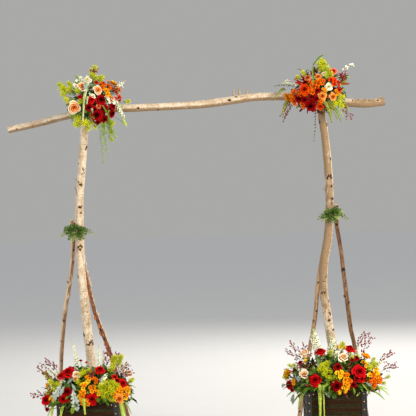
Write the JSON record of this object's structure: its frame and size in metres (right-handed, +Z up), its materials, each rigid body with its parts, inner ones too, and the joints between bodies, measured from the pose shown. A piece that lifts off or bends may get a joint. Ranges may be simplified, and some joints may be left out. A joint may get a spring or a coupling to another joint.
{
  "type": "floral archway",
  "caption": "Rustic wedding archway: a wavy birch-pole beam lashed across two pole tripods, with bouquets at the joints and slatted crates of flowers at the feet.",
  "frame": {"origin": "on the floor, below the middle of the beam and midway between the crates' flowers in front and the brace legs' feet behind", "axes": "+Z up, +X along the beam to the viewer's right, +Y away from the viewer, from the crates to the brace legs"},
  "size_m": [2.4462, 1.0685, 2.4469],
  "materials": {
    "birch_bark": "matt white birch bark with dark knots and lenticels",
    "brown_bark": "matt tan-brown bark",
    "red_peeling_bark": "matt reddish bark, peeling in curls",
    "twine": "natural twisted twine",
    "dark_timber": "dark brown stained timber, satin",
    "liner_plastic": "matt green planter liner",
    "dark_strap": "charcoal painted corner strap with brass rivets",
    "foliage": "fresh leaves, satin",
    "red_petals": "soft velvety petals",
    "peach_petals": "soft petals",
    "orange_petals": "soft petals",
    "sprig_blossom": "small soft blossoms"
  },
  "bodies": {
    "root": {"left_main_post": "birch_bark", "right_main_post": "birch_bark", "top_beam": "birch_bark", "left_outer_leg": "brown_bark", "left_inner_leg": "red_peeling_bark", "right_outer_leg": "brown_bark", "right_inner_leg": "brown_bark", "left_leg_lashing": "twine", "right_leg_lashing": "twine", "left_beam_lashing": "twine", "right_beam_lashing": "twine", "left_lashing_greens": "foliage", "right_lashing_greens": "foliage", "left_bouquet_greens": "foliage", "left_bouquet_red_roses": "red_petals", "left_bouquet_peach_roses": "peach_petals", "left_bouquet_lilies": "orange_petals", "left_bouquet_sprigs": "sprig_blossom", "right_bouquet_greens": "foliage", "right_bouquet_red_roses": "red_petals", "right_bouquet_peach_roses": "peach_petals", "right_bouquet_lilies": "orange_petals", "right_bouquet_sprigs": "sprig_blossom", "left_crate_front": "dark_timber", "left_crate_back": "dark_timber", "left_crate_left_side": "dark_timber", "left_crate_right_side": "dark_timber", "left_crate_bottom": "dark_timber", "left_crate_liner": "liner_plastic", "left_crate_front_left_strap": "dark_strap", "left_crate_front_right_strap": "dark_strap", "left_crate_back_left_strap": "dark_strap", "left_crate_back_right_strap": "dark_strap", "left_planter_greens": "foliage", "left_planter_red_roses": "red_petals", "left_planter_peach_roses": "peach_petals", "left_planter_lilies": "orange_petals", "left_planter_sprigs": "sprig_blossom", "right_crate_front": "dark_timber", "right_crate_back": "dark_timber", "right_crate_left_side": "dark_timber", "right_crate_right_side": "dark_timber", "right_crate_bottom": "dark_timber", "right_crate_liner": "liner_plastic", "right_crate_front_left_strap": "dark_strap", "right_crate_front_right_strap": "dark_strap", "right_crate_back_left_strap": "dark_strap", "right_crate_back_right_strap": "dark_strap", "right_planter_greens": "foliage", "right_planter_red_roses": "red_petals", "right_planter_peach_roses": "peach_petals", "right_planter_lilies": "orange_petals", "right_planter_sprigs": "sprig_blossom"}
  },
  "joints": []
}
